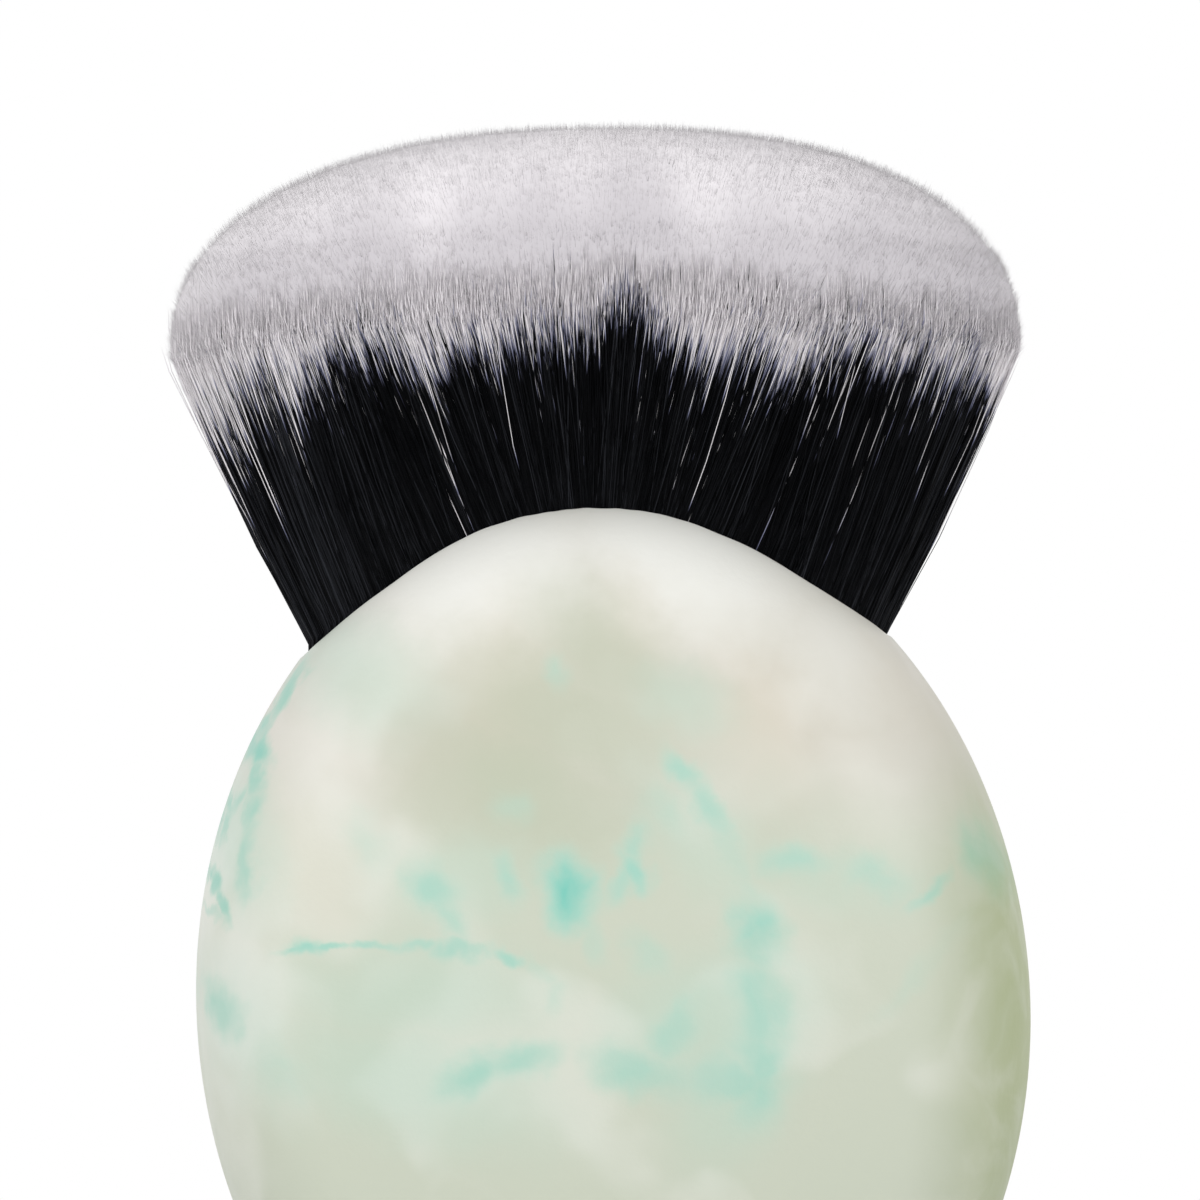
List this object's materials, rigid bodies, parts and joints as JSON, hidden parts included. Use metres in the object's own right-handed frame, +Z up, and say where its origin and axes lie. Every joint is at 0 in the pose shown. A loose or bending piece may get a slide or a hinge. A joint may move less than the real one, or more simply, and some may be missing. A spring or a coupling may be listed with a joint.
{
  "type": "bronzer brush",
  "caption": "Palm-held makeup brush: a wide flared tuft of dark fibres with pale tips, set in an oval pebble handle of marbled resin that stands on its foot.",
  "frame": {"origin": "middle of the flat foot under the handle", "axes": "+Z up the brush from the foot to the crown of the tuft, +X across the wide face, -Y out of the front face"},
  "size_m": [0.0618, 0.035, 0.0982],
  "materials": {
    "handle": "satin cast resin, cream marbled with mint",
    "ferrule": "plain drawn, hidden",
    "root_glue": "set amber epoxy, hidden",
    "bristles": "soft synthetic fibres, black from the root and left white at the tips"
  },
  "bodies": {
    "root": {"handle": "handle", "ferrule": "ferrule", "root_glue": "root_glue", "bristles": "bristles"}
  },
  "joints": []
}
